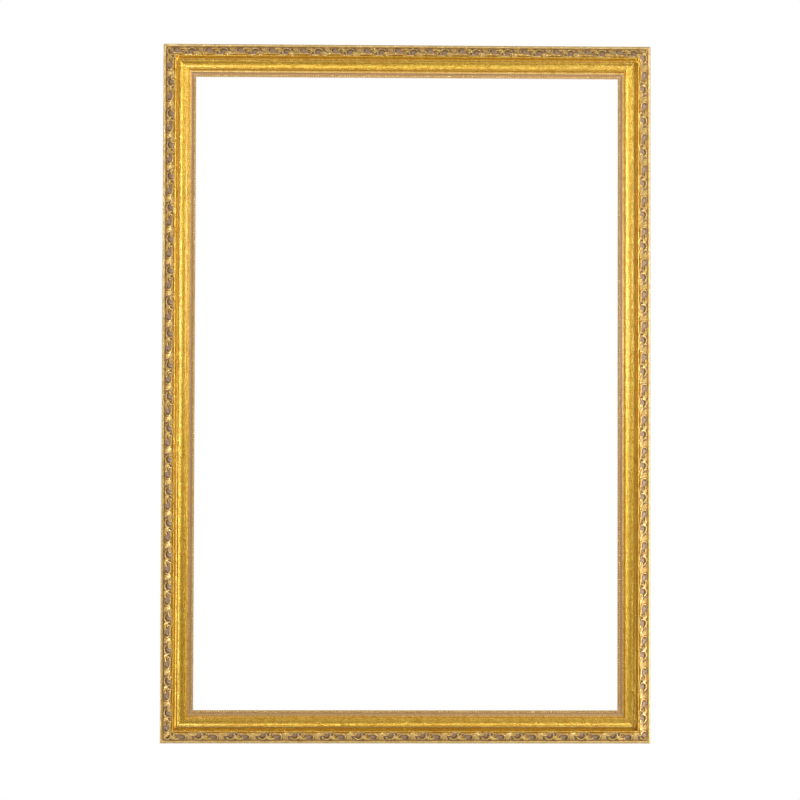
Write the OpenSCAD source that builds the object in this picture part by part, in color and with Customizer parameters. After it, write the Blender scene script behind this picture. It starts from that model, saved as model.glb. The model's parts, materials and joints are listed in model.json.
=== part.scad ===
// Gilded picture frame: four mitred moulding rails with applied leaf ornament and pearl beading.
// The frame hangs on a wall. X runs across it, Z runs up and the front faces -Y.
// The origin lies on the wall plane, midway between the two hanger rings.
// Heights in the moulding are measured from its flat back, widths from its outer edge.

/* [Frame] */
// Overall width across the outer edges
frame_w = 700; // [500:1:900]
// Overall height across the outer edges
frame_h = 1000; // [700:1:1300]

/* [Moulding, outer half] */
// Height of the plain outer side, from the back to the outer bead
side_h = 14; // [11:0.5:18]
// Width of the half-round outer bead
outer_bead_w = 5; // [4:0.1:6]
// Step from the middle of the outer bead up to the ornament bed
bed_step = 0.8; // [0.4:0.1:1.6]
// Width of the sloping ornament bed, seen from the front
bed_w = 12.6; // [11:0.1:14]
// Rise of the ornament bed across its width
bed_rise = 10; // [8:0.5:12]
// Width of the round ridge inside the ornament
ridge_w = 2.4; // [1.8:0.1:3]
// Rise from the top of the bed to the top of the ridge
ridge_rise = 2.2; // [1.8:0.1:3.2]

/* [Moulding, inner half] */
// Width of the cove below the ridge
cove_w = 3.8; // [3.2:0.1:5]
// Fall of the cove
cove_fall = 6.4; // [5:0.1:7]
// Radius of the cove
cove_r = 8.5; // [8:0.1:12]
// Width of the small half-round below the cove
astragal_w = 1.9; // [1.6:0.1:2.3]
// Depth of the middle of the half-round below the foot of the cove
astragal_sink = 0.3; // [0.1:0.1:0.6]
// Radius of the hollow that leads from the small half-round down into the scoop
sweep_r = 6.7; // [5:0.1:8]
// Width of the scoop that rises to the inner crest
scoop_w = 11.3; // [9.8:0.1:12.8]
// Radius of the scoop
scoop_r = 11.7; // [11:0.1:16]
// Fall from the foot of the cove to the bottom of the scoop
scoop_fall = 1.4; // [1:0.1:2]
// Distance from the small half-round to the bottom of the scoop
scoop_lead = 5.2; // [4.6:0.1:5.6]
// Radius of the roll on the inner crest
crest_r = 0.8; // [0.5:0.1:1]
// Width of the steep drop inside the crest
drop_w = 1.3; // [1:0.1:2]
// Lean of the steep drop, in degrees from upright
drop_lean = 16.5; // [10:0.5:25]
// Fall from the bottom of the scoop to the flat fillet
fillet_fall = 2.1; // [1.5:0.1:3]
// Width of the flat fillet
fillet_w = 2.7; // [2:0.1:4]
// Fall from the fillet to the seat of the pearls
pearl_fall = 1.4; // [1:0.1:2]
// Width of the groove beside the pearls
groove_w = 2.3; // [1.6:0.1:3]
// Depth of the groove below the seat of the pearls
groove_depth = 1; // [0.5:0.1:1.5]

/* [Sight edge and rebate] */
// Diameter of one pearl
pearl_d = 3.3; // [2.8:0.1:3.4]
// Distance from one pearl to the next
pearl_pitch = 3.46; // [3.42:0.02:4]
// Radius of the thread that joins the pearls
pearl_core_r = 0.9; // [0.6:0.1:1.2]
// Flat left between the pearls and the sight edge
sight_margin = 0.4; // [0.2:0.1:1]
// Width of the lip that holds the picture
lip_w = 5; // [4:0.5:7]
// Depth of the rebate behind the lip
rebate_depth = 12.5; // [10:0.5:14]

/* [Leaf ornament] */
// Length of one repeat, which holds two leaves
repeat_l = 45; // [40:1:50]
// Thickness of the ground that carries the leaves
ground_t = 0.6; // [0.5:0.1:0.8]
// Margin between the ground and each side of the bed
ground_margin = 0.5; // [0.3:0.1:0.8]
// Height of a leaf above its ground
leaf_h = 1.7; // [1:0.1:2]
// Half width of a leaf where it is widest
leaf_half_w = 1.9; // [1.4:0.1:2.2]
// Radius of a scroll where its stem starts
scroll_start_r = 6.4; // [5:0.1:6.6]
// Radius of a scroll at its curled tip
scroll_end_r = 1.9; // [1.6:0.1:2.4]
// Distance of a scroll's middle from the middle of the band
scroll_shift = 0.6; // [0:0.1:1]

/* [Corner nails] */
// Length of one leg of a corner nail
nail_leg = 7; // [5:0.5:8]
// Thickness of the nail's steel
nail_t = 0.5; // [0.4:0.1:0.8]
// Length of the nail, driven in from the back
nail_l = 10; // [7:0.5:11]
// Depth of the driven nail below the back
nail_inset = 0.5; // [0.2:0.1:1]
// Distance of the outer nail's point from both outer edges
nail_outer = 13; // [11:0.5:15]
// Distance of the inner nail's point from both outer edges
nail_inner = 30; // [26:0.5:33]
// Gap between a nail and its slot
nail_gap = 0.05; // [0.02:0.01:0.1]

/* [Turn buttons] */
// Length of a turn button from its screw to its tip
button_reach = 22; // [18:0.5:26]
// Width of a turn button
button_w = 9; // [8:0.5:10]
// Thickness of a turn button
button_t = 1; // [0.8:0.1:1.2]
// Distance of the button's screw from the rebate
button_setback = 7; // [6:0.5:9]
// Distance of the buttons on the top and bottom rails from the outer corners
button_place_short = 150; // [110:1:200]
// Distance of the buttons on the side rails from the outer corners
button_place_long = 170; // [110:1:200]
// Height of the pressed rib along a button
button_rib_h = 0.6; // [0.4:0.1:0.8]
// Width of the pressed rib
button_rib_w = 3; // [2:0.1:4]
// Gap under and over a turning button
button_gap = 0.1; // [0.05:0.01:0.15]

/* [Hangers] */
// Distance from the top edge down to the hanger rings
hanger_drop = 250; // [220:1:350]
// Width of a hanger strap
strap_w = 10; // [8:0.5:10.5]
// Thickness of the strap's steel
strap_t = 0.8; // [0.6:0.1:1]
// Distance from the screw to the ring's bar
strap_reach = 15; // [12:0.5:17]
// Distance of the ring's bar from the outer edge
ring_place = 26; // [22:0.5:27]
// Radius of the ring's wire
wire_r = 1; // [0.8:0.1:1.2]
// Width of the ring between the middles of its legs
ring_w = 15; // [14:0.5:17]
// Radius of the ring's two bends beside its bar
ring_bend_r = 2; // [1.5:0.1:2.2]
// Length of the ring's straight legs
ring_leg = 2.5; // [1.5:0.5:3.5]
// Gap between the ring's bar and the strap's eye
eye_gap = 0.08; // [0.05:0.01:0.1]

/* [Screws] */
// Radius of a screw's shank
shank_r = 1.6; // [1.3:0.1:1.8]
// Radius of a screw's pan head
head_r = 3.4; // [3:0.1:3.8]
// Height of a screw's head
head_h = 1.9; // [1.5:0.1:2]
// Radius of the head's dome
dome_r = 5; // [4.5:0.5:8]
// Depth that a screw reaches into the wood
screw_depth = 10; // [8:0.5:12]
// Length of the pointed end of a screw
point_l = 2.5; // [2:0.5:3]
// Length of the cross cut in a head
cross_l = 3.6; // [3:0.1:4]
// Width of the cross cut
cross_w = 0.8; // [0.6:0.1:1]
// Depth of the cross cut
cross_depth = 1.1; // [0.8:0.1:1.2]
// Gap between a shank and the hole that it goes through
shank_gap = 0.08; // [0.05:0.01:0.1]

/* [Wall bumpers] */
// Radius of a wall bumper
bumper_r = 5; // [4:0.5:6]
// Thickness of a bumper, which sets the gap to the wall
bumper_t = 4; // [3.8:0.1:6]
// Width of the bumper's chamfer
bumper_chamfer = 0.8; // [0.4:0.1:1]
// Distance of a bumper from the bottom edge
bumper_up = 10; // [8:0.5:14]
// Distance of a bumper from the side edge
bumper_in = 30; // [24:1:45]

/* [Hidden] */

$fn = 96;
// Length by which a cut runs past the wood
overrun = 2;

// Sides in the order of the corners that they start from
BOTTOM = 0;
RIGHT = 1;
TOP = 2;
LEFT = 3;
quarter = 90;
corners = [[0, 0], [frame_w, 0], [frame_w, frame_h], [0, frame_h]];
function rail_l(side) = side % 2 == 0 ? frame_w : frame_h;

// Places across the moulding, from the outer edge
bead_r = outer_bead_w / 2;
u_bed = outer_bead_w;
u_ridge = u_bed + bed_w;
u_cove = u_ridge + ridge_w;
u_astragal = u_cove + cove_w;
u_scoop = u_astragal + astragal_w;
u_drop = u_scoop + scoop_w;
u_fillet = u_drop + drop_w;
u_groove = u_fillet + fillet_w;
u_pearl = u_groove + groove_w;
face_w = u_pearl + pearl_d + sight_margin;
u_rebate = face_w - lip_w;

// Heights above the back
ridge_r = ridge_w / 2;
astragal_r = astragal_w / 2;
h_bead = side_h + bead_r;
h_bed_low = h_bead + bed_step;
h_bed_high = h_bed_low + bed_rise;
h_ridge = h_bed_high + ridge_rise - ridge_r;
h_cove = h_ridge - cove_fall;
h_astragal = h_cove - astragal_sink;
h_scoop = h_cove - scoop_fall;
h_fillet = h_scoop - fillet_fall;
h_seat = h_fillet - pearl_fall;
h_groove = h_seat - groove_depth;
u_astragal_mid = u_astragal + astragal_r;

// Middle of the cove's circle, from the two ends of the cove
cove_chord = norm([cove_w, cove_fall]);
cove_back = sqrt(cove_r * cove_r - cove_chord * cove_chord / 4);
cove_mid = [u_cove + cove_w / 2 + cove_back * cove_fall / cove_chord,
            h_cove + cove_fall / 2 + cove_back * cove_w / cove_chord];
// Middle of the scoop's circle, and of the roll that sits on the scoop's end
scoop_mid = [u_scoop + scoop_lead, h_scoop + scoop_r];
u_roll = u_drop - crest_r;
h_roll = scoop_mid[1] - sqrt(scoop_r * scoop_r - pow(u_roll - scoop_mid[0], 2));
// Middle of the sweep's circle, which touches the small half-round outside and the scoop inside
astragal_mid = [u_astragal_mid, h_astragal];
sweep_reach = sweep_r + astragal_r;
sweep_inset = scoop_r - sweep_r;
scoop_span = norm(scoop_mid - astragal_mid);
scoop_way = (scoop_mid - astragal_mid) / scoop_span;
sweep_along = (pow(sweep_reach, 2) - pow(sweep_inset, 2) + pow(scoop_span, 2)) / (2 * scoop_span);
sweep_aside = sqrt(max(0, pow(sweep_reach, 2) - pow(sweep_along, 2)));
sweep_mid = astragal_mid + sweep_along * scoop_way + sweep_aside * [scoop_way[1], -scoop_way[0]];
// Where the sweep leaves the small half-round, and where it meets the scoop
u_crook = u_astragal_mid + astragal_r * (sweep_mid[0] - u_astragal_mid) / sweep_reach;
u_meet = scoop_mid[0] - scoop_r * (scoop_mid[0] - sweep_mid[0]) / sweep_inset;

// Ornament bed: its slope and its length down the slope
bed_slope = atan2(bed_rise, bed_w);
bed_l = norm([bed_w, bed_rise]);
ground_w = bed_l - 2 * ground_margin;

// Scroll leaf: a tapered ribbon that curls in, one section for each share
leaf_taper_shares = [0.25, 0.6, 0.85, 1, 1, 0.9, 0.7, 0.55, 0.8, 0.5];
leaf_steps = len(leaf_taper_shares) - 1;
leaf_section_shares = [[-1, 0], [-0.6, 0.75], [0, 1], [0.6, 0.75], [1, 0]];
leaf_sides = len(leaf_section_shares);
// Angles at which a scroll starts, and through which it curls
leaf_start = 150;
leaf_sweep = 330;
leaf_sink = ground_t / 2;

// Fastener places
u_button = u_rebate - button_setback;
u_strap_screw = ring_place - strap_reach;
eye_r = wire_r + eye_gap;
eye_outer_r = eye_r + strap_t;
button_places = [button_place_short, button_place_long];
function button_place(side) = button_places[side % 2];
// Run along each side rail at which its ring hangs
function ring_run(side) = side == RIGHT ? frame_h - hanger_drop : hanger_drop;
// Each button: side, whether it is the far one, and the way that it points along the rail
BUTTON_TOP_LEFT = [TOP, true, -1];
BUTTON_TOP_RIGHT = [TOP, false, 1];
BUTTON_BOTTOM_LEFT = [BOTTOM, false, 1];
BUTTON_BOTTOM_RIGHT = [BOTTOM, true, -1];
BUTTON_LEFT_UPPER = [LEFT, false, 1];
BUTTON_LEFT_LOWER = [LEFT, true, 1];
BUTTON_RIGHT_UPPER = [RIGHT, true, -1];
BUTTON_RIGHT_LOWER = [RIGHT, false, -1];
buttons = [BUTTON_TOP_LEFT, BUTTON_TOP_RIGHT, BUTTON_BOTTOM_LEFT, BUTTON_BOTTOM_RIGHT,
           BUTTON_LEFT_UPPER, BUTTON_LEFT_LOWER, BUTTON_RIGHT_UPPER, BUTTON_RIGHT_LOWER];
function button_run(b) =
    b[1] ? rail_l(b[0]) - button_place(b[0]) : button_place(b[0]);

gold = "goldenrod";
dull_gold = "darkgoldenrod";
pale_gold = "burlywood";
steel = "silver";
brass = "peru";

// Carries a piece from rail coordinates, run, inward and height, to its side of the frame
module on_side(side) {
    translate([-frame_w / 2, -bumper_t, hanger_drop - frame_h])
        rotate([quarter, 0, 0])
            translate([corners[side][0], corners[side][1], 0])
                rotate([0, 0, quarter * side])
                    children();
}

// Lays an outline of inward place and height along the run
module along(l) {
    rotate([quarter, 0, quarter])
        linear_extrude(l)
            children();
}

// Space of one rail between its two mitre cuts
module mitre_space(l) {
    translate([0, 0, -overrun])
        linear_extrude(h_ridge + ridge_r + 2 * overrun)
            polygon([[-overrun, -overrun],
                     [l + overrun, -overrun],
                     [l - face_w - overrun, face_w + overrun],
                     [face_w + overrun, face_w + overrun]]);
}

// Outline of the wood without its four half-rounds
module moulding_outline() {
    difference() {
        polygon([[0, 0], [0, h_bead], [u_bed, h_bead], [u_bed, h_bed_low],
                 [u_ridge, h_bed_high], [u_ridge, h_ridge],
                 [u_fillet - (h_ridge - h_fillet) * tan(drop_lean), h_ridge],
                 [u_fillet, h_fillet], [u_groove, h_fillet], [u_groove, h_groove],
                 [u_pearl, h_groove], [u_pearl, h_seat], [face_w, h_seat],
                 [face_w, rebate_depth], [u_rebate, rebate_depth], [u_rebate, 0]]);
        intersection() {
            translate(cove_mid) circle(cove_r);
            square([u_astragal_mid, h_ridge + overrun]);
        }
        translate(astragal_mid) square([u_crook - u_astragal_mid, h_ridge + overrun]);
        intersection() {
            translate(sweep_mid) circle(sweep_r);
            translate([u_astragal_mid, 0]) square([u_fillet - u_astragal_mid, h_ridge + overrun]);
        }
        intersection() {
            translate(scoop_mid) circle(scoop_r);
            translate([u_meet, 0]) square([u_fillet - u_meet, h_ridge + overrun]);
        }
    }
}

module moulding(l) {
    union() {
        along(l) moulding_outline();
        along(l) translate([bead_r, h_bead]) circle(bead_r);
        along(l) translate([u_ridge + ridge_r, h_ridge]) circle(ridge_r);
        along(l) translate([u_astragal_mid, h_astragal]) circle(astragal_r);
        along(l) translate([u_roll, h_roll]) circle(crest_r);
    }
}

// Two V-shaped nails that cross a mitre, in rail coordinates at the start of a rail
module corner_nail_pair(gap) {
    for (place = [nail_outer, nail_inner])
        translate([place - gap, place - gap, nail_inset - (gap > 0 ? nail_inset + overrun : 0)])
            linear_extrude(nail_l + (gap > 0 ? nail_inset + overrun + gap : 0))
                union() {
                    square([nail_leg + 2 * gap, nail_t + 2 * gap]);
                    square([nail_t + 2 * gap, nail_leg + 2 * gap]);
                }
}

module screw_hole() {
    translate([0, 0, -overrun])
        cylinder(r = shank_r + shank_gap, h = screw_depth + shank_gap + overrun);
}

module rail(side) {
    l = rail_l(side);
    color(gold)
        on_side(side)
            difference() {
                intersection() {
                    moulding(l);
                    mitre_space(l);
                }
                corner_nail_pair(nail_gap);
                translate([l, 0, 0]) rotate([0, 0, quarter]) corner_nail_pair(nail_gap);
                for (b = buttons)
                    if (b[0] == side) translate([button_run(b), u_button, 0]) screw_hole();
                if (side % 2 == 1) translate([ring_run(side), u_strap_screw, 0]) screw_hole();
            }
}

// Sections of a scroll leaf, from its stem to its curled tip
function leaf_point(k, j) =
    let (t = k / leaf_steps,
         a = leaf_start + leaf_sweep * t,
         r = scroll_start_r + (scroll_end_r - scroll_start_r) * t,
         size = leaf_taper_shares[k],
         reach = r + leaf_half_w * size * leaf_section_shares[j][0])
    [reach * cos(a), reach * sin(a),
     leaf_h * size * leaf_section_shares[j][1] - (leaf_section_shares[j][1] == 0 ? leaf_sink : 0)];

module scroll_leaf() {
    n = leaf_sides;
    points = [for (k = [0 : leaf_steps]) for (j = [0 : n - 1]) leaf_point(k, j)];
    sides = [for (k = [0 : leaf_steps - 1]) for (j = [0 : n - 1])
             let (a = k * n + j, b = k * n + (j + 1) % n)
             each [[a, b + n, b], [a, a + n, b + n]]];
    stem_end = [[for (j = [0 : n - 1]) j]];
    tip_end = [[for (j = [n - 1 : -1 : 0]) leaf_steps * n + j]];
    polyhedron(points, concat(sides, stem_end, tip_end), convexity = 4);
}

// Leaves curl to the outer and the inner side in turn, with a berry in each gap
module leaf_run(l) {
    half_l = repeat_l / 2;
    count = ceil(l / half_l);
    for (i = [0 : count])
        translate([l / 2 + (i - count / 2) * half_l, bed_l / 2, ground_t])
            mirror([0, i % 2, 0])
                translate([0, scroll_shift, 0]) scroll_leaf();
}

module ornament(side) {
    l = rail_l(side);
    color(dull_gold)
        on_side(side)
            intersection() {
                translate([0, u_bed, h_bed_low])
                    rotate([bed_slope, 0, 0]) {
                        translate([0, ground_margin, 0]) cube([l, ground_w, ground_t]);
                        leaf_run(l);
                    }
                mitre_space(l);
            }
}

// Half of a string of pearls, flat side down on its seat
module pearls(side) {
    l = rail_l(side);
    r = pearl_d / 2;
    count = floor((l - 2 * face_w) / pearl_pitch);
    color(pale_gold)
        on_side(side)
            translate([l / 2 - (count - 1) * pearl_pitch / 2, u_pearl + r, h_seat])
                rotate([quarter, 0, quarter])
                    rotate_extrude(angle = 2 * quarter)
                        intersection() {
                            union() {
                                for (i = [0 : count - 1])
                                    translate([0, i * pearl_pitch]) circle(r);
                                square([pearl_core_r, (count - 1) * pearl_pitch]);
                            }
                            translate([0, -r]) square([pearl_d, count * pearl_pitch + pearl_d]);
                        }
}

module corner_nails(side) {
    color(steel)
        on_side(side)
            corner_nail_pair(0);
}

// Pan head screw. Its head's underside lies the given lift above the back
module screw(lift) {
    difference() {
        union() {
            translate([0, 0, -lift - head_h])
                intersection() {
                    cylinder(r = head_r, h = head_h);
                    translate([0, 0, dome_r]) sphere(dome_r);
                }
            translate([0, 0, -lift])
                cylinder(r = shank_r, h = lift + screw_depth - point_l);
            translate([0, 0, screw_depth - point_l])
                cylinder(r1 = shank_r, r2 = 0, h = point_l);
        }
        for (turn = [0, quarter])
            rotate([0, 0, turn])
                translate([-cross_l / 2, -cross_w / 2, -lift - head_h - overrun])
                    cube([cross_l, cross_w, cross_depth + overrun]);
    }
}

// Flat button that turns on its screw to hold the picture in the rebate
module turn_button(b) {
    rib_l = button_reach - head_r - button_w;
    color(brass)
        on_side(b[0])
            translate([button_run(b), u_button, -button_gap - button_t])
                mirror([b[2] < 0 ? 1 : 0, 0, 0]) {
                    linear_extrude(button_t)
                        difference() {
                            union() {
                                circle(button_w / 2);
                                translate([button_reach - button_w / 2, 0]) circle(button_w / 2);
                                translate([0, -button_w / 2])
                                    square([button_reach - button_w / 2, button_w]);
                            }
                            circle(shank_r + shank_gap);
                        }
                    translate([head_r + button_w / 2, -button_rib_w / 2, -button_rib_h])
                        cube([rib_l, button_rib_w, button_rib_h]);
                }
}

module turn_button_screws() {
    color(steel)
        for (b = buttons)
            on_side(b[0])
                translate([button_run(b), u_button, 0])
                    screw(button_t + 2 * button_gap);
}

// Strap with an eye rolled round the ring's bar
module hanger_strap(side) {
    color(steel)
        on_side(side)
            translate([ring_run(side), 0, 0])
                difference() {
                    union() {
                        translate([0, 0, -strap_t])
                            linear_extrude(strap_t) {
                                translate([0, u_strap_screw]) circle(strap_w / 2);
                                translate([-strap_w / 2, u_strap_screw])
                                    square([strap_w, strap_reach]);
                            }
                        translate([-strap_w / 2, ring_place, -eye_outer_r])
                            rotate([0, quarter, 0]) cylinder(r = eye_outer_r, h = strap_w);
                    }
                    translate([-strap_w / 2 - overrun, ring_place, -eye_outer_r])
                        rotate([0, quarter, 0]) cylinder(r = eye_r, h = strap_w + 2 * overrun);
                    translate([0, u_strap_screw, -strap_t - overrun])
                        cylinder(r = shank_r + shank_gap, h = strap_t + 2 * overrun);
                }
}

// Quarter bend of the ring's wire, from its middle, first along X
module wire_bend(r, turn) {
    rotate_extrude(angle = turn)
        translate([r, 0]) circle(wire_r);
}

// D-shaped ring: a bar in the strap's eye, two bends, two legs and a half round
module hanger_ring(side) {
    bar_l = ring_w - 2 * ring_bend_r;
    color(steel)
        on_side(side)
            translate([ring_run(side), ring_place, -eye_outer_r]) {
                translate([-bar_l / 2, 0, 0]) rotate([0, quarter, 0]) cylinder(r = wire_r, h = bar_l);
                translate([bar_l / 2, ring_bend_r, 0])
                    rotate([0, 0, -quarter]) wire_bend(ring_bend_r, quarter);
                translate([-bar_l / 2, ring_bend_r, 0])
                    rotate([0, 0, 2 * quarter]) wire_bend(ring_bend_r, quarter);
                for (x = [-ring_w / 2, ring_w / 2])
                    translate([x, ring_bend_r, 0])
                        rotate([-quarter, 0, 0]) cylinder(r = wire_r, h = ring_leg);
                translate([0, ring_bend_r + ring_leg, 0]) wire_bend(ring_w / 2, 2 * quarter);
            }
}

module hanger_screws() {
    color(steel)
        for (side = [LEFT, RIGHT])
            on_side(side)
                translate([ring_run(side), u_strap_screw, 0])
                    screw(strap_t);
}

// Round bumper that keeps the frame off the wall, at one end of the bottom rail
module wall_bumper(run) {
    color("dimgray")
        on_side(BOTTOM)
            translate([run, bumper_up, 0])
                mirror([0, 0, 1]) {
                    cylinder(r = bumper_r, h = bumper_t - bumper_chamfer);
                    translate([0, 0, bumper_t - bumper_chamfer])
                        cylinder(r1 = bumper_r, r2 = bumper_r - bumper_chamfer, h = bumper_chamfer);
                }
}

rail(TOP);  // rail_top
rail(BOTTOM);  // rail_bottom
rail(LEFT);  // rail_left
rail(RIGHT);  // rail_right
ornament(TOP);  // ornament_top
ornament(BOTTOM);  // ornament_bottom
ornament(LEFT);  // ornament_left
ornament(RIGHT);  // ornament_right
pearls(TOP);  // pearls_top
pearls(BOTTOM);  // pearls_bottom
pearls(LEFT);  // pearls_left
pearls(RIGHT);  // pearls_right
corner_nails(LEFT);  // corner_nails_top_left
corner_nails(TOP);  // corner_nails_top_right
corner_nails(BOTTOM);  // corner_nails_bottom_left
corner_nails(RIGHT);  // corner_nails_bottom_right
turn_button(BUTTON_TOP_LEFT);  // turn_button_top_left
turn_button(BUTTON_TOP_RIGHT);  // turn_button_top_right
turn_button(BUTTON_BOTTOM_LEFT);  // turn_button_bottom_left
turn_button(BUTTON_BOTTOM_RIGHT);  // turn_button_bottom_right
turn_button(BUTTON_LEFT_UPPER);  // turn_button_left_upper
turn_button(BUTTON_LEFT_LOWER);  // turn_button_left_lower
turn_button(BUTTON_RIGHT_UPPER);  // turn_button_right_upper
turn_button(BUTTON_RIGHT_LOWER);  // turn_button_right_lower
turn_button_screws();
hanger_strap(LEFT);  // hanger_strap_left
hanger_strap(RIGHT);  // hanger_strap_right
hanger_ring(LEFT);  // hanger_ring_left
hanger_ring(RIGHT);  // hanger_ring_right
hanger_screws();
wall_bumper(bumper_in);  // wall_bumper_left
wall_bumper(frame_w - bumper_in);  // wall_bumper_right
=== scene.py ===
"""Looks of a gilded picture frame: mouldings with leaf ornament and pearls, and the fittings behind."""
import json
import math

import bmesh
import bpy
import numpy as np
from mathutils import Matrix, Vector

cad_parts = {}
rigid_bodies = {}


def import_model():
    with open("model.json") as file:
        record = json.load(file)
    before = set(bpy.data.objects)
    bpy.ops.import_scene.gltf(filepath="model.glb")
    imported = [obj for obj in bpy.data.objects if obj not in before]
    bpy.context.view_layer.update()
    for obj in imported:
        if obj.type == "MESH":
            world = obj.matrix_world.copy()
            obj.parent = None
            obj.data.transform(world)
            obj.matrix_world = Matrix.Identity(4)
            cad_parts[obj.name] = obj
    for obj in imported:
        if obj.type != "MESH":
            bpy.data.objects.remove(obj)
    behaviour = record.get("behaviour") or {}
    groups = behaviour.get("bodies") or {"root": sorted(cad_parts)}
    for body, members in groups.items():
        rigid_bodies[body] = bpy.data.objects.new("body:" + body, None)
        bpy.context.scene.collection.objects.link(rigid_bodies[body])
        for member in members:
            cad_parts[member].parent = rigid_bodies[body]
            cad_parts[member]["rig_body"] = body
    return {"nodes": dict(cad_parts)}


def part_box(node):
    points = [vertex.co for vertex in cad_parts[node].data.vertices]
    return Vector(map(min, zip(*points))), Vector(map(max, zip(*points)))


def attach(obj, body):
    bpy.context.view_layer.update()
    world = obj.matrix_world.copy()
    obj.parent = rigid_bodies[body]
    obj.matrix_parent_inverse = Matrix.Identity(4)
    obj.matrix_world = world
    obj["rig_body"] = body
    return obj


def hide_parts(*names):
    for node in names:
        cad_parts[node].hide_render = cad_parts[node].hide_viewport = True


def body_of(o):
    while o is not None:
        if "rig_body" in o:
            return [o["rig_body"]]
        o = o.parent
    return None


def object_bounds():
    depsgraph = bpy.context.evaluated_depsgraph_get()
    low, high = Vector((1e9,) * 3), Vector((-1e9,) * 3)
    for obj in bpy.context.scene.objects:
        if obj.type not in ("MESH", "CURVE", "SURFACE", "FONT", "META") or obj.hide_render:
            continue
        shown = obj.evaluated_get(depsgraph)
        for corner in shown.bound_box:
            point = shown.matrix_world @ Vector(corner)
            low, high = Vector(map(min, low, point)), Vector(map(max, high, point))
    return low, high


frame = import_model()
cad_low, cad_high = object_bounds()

MM = 0.001

# Moulding, in millimetres: places are measured inward from the outer edge, heights from the wood's back
BEAD_W = 5.0
BEAD_H = 16.5
BED_LOW = 17.3
BED_W = 12.6
BED_RISE = 10.0
RIDGE_W = 2.4
RIDGE_RISE = 2.2
COVE_W = 3.8
COVE_FALL = 6.4
COVE_R = 8.5
ASTRAGAL_W = 1.9
ASTRAGAL_SINK = 0.3
SWEEP_R = 6.7
SCOOP_W = 11.3
SCOOP_R = 11.7
SCOOP_FALL = 1.4
SCOOP_LEAD = 5.2
CREST_R = 0.8
DROP_W = 1.3
DROP_LEAN = 16.5
FILLET_FALL = 2.1
FILLET_W = 2.7
PEARL_FALL = 1.4
GROOVE_W = 2.3
GROOVE_DEPTH = 1.0
PEARL_D = 3.3
PEARL_PITCH = 3.46
SIGHT_MARGIN = 0.4
LIP_W = 5.0
REBATE_DEPTH = 12.5
REPEAT = 45.0
GROUND_T = 0.6

U_BED = BEAD_W
U_RIDGE = U_BED + BED_W
U_COVE = U_RIDGE + RIDGE_W
U_ASTRAGAL = U_COVE + COVE_W
U_SCOOP = U_ASTRAGAL + ASTRAGAL_W
U_DROP = U_SCOOP + SCOOP_W
U_FILLET = U_DROP + DROP_W
U_GROOVE = U_FILLET + FILLET_W
U_PEARL = U_GROOVE + GROOVE_W
FACE_W = U_PEARL + PEARL_D + SIGHT_MARGIN
U_REBATE = FACE_W - LIP_W
BED_HIGH = BED_LOW + BED_RISE
H_RIDGE = BED_HIGH + RIDGE_RISE - RIDGE_W / 2
H_COVE = H_RIDGE - COVE_FALL
H_ASTRAGAL = H_COVE - ASTRAGAL_SINK
H_SCOOP = H_COVE - SCOOP_FALL
H_FILLET = H_SCOOP - FILLET_FALL
H_SEAT = H_FILLET - PEARL_FALL
H_GROOVE = H_SEAT - GROOVE_DEPTH
BED_SLOPE = math.atan2(BED_RISE, BED_W)
BED_L = math.hypot(BED_W, BED_RISE)

# Each side: where its run starts, the way of the run, the way inward, and its length in millimetres.
# Its third axis points back to front
WOOD_BACK_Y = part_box("rail_left")[1].y
WIDTH = (cad_high.x - cad_low.x) / MM
HEIGHT = (cad_high.z - cad_low.z) / MM
SIDES = {
    "bottom": (Vector((cad_low.x, WOOD_BACK_Y, cad_low.z)), Vector((1, 0, 0)), Vector((0, 0, 1)), WIDTH),
    "right": (Vector((cad_high.x, WOOD_BACK_Y, cad_low.z)), Vector((0, 0, 1)), Vector((-1, 0, 0)), HEIGHT),
    "top": (Vector((cad_high.x, WOOD_BACK_Y, cad_high.z)), Vector((-1, 0, 0)), Vector((0, 0, -1)), WIDTH),
    "left": (Vector((cad_low.x, WOOD_BACK_Y, cad_high.z)), Vector((0, 0, -1)), Vector((1, 0, 0)), HEIGHT),
}


def side_matrix(side):
    """Carries run, inward place and height, in millimetres, to the object's frame in metres."""
    start, run, inward, length = SIDES[side]
    axes = Matrix((run, inward, run.cross(inward))).transposed().to_4x4()
    return Matrix.Translation(start) @ axes @ Matrix.Scale(MM, 4)


# Colour and material helpers


def linear(code):
    """An sRGB hex colour as linear red, green, blue and alpha."""
    parts = [int(code[i : i + 2], 16) / 255 for i in (1, 3, 5)]
    return (*[c / 12.92 if c <= 0.04045 else ((c + 0.055) / 1.055) ** 2.4 for c in parts], 1.0)


def add(tree, kind, links=None, **settings):
    """Adds one node. Links maps its input sockets to values or to other nodes' outputs."""
    made = tree.nodes.new(kind)
    for key, value in settings.items():
        setattr(made, key, value)
    for key, value in (links or {}).items():
        if isinstance(value, bpy.types.NodeSocket):
            tree.links.new(value, made.inputs[key])
        else:
            made.inputs[key].default_value = value
    return made


def new_material(name):
    """An empty node material with its shader and output joined."""
    mat = bpy.data.materials.new(name)
    mat.use_nodes = True
    tree = mat.node_tree
    shader = tree.nodes["Principled BSDF"]
    return mat, tree, shader


# Sizes of the gilding's patterns, in millimetres: broad patches of toning, flecks rubbed through to the bare
# metal, grime that breaks up the wash, and the spacing of dark specks. Last, the patches' weight
PATCH_MM = 8
FLECK_MM = 1.3
GRIME_MM = 1.6
SPECK_MM = 5
PATCH_SHARE = 0.25


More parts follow.
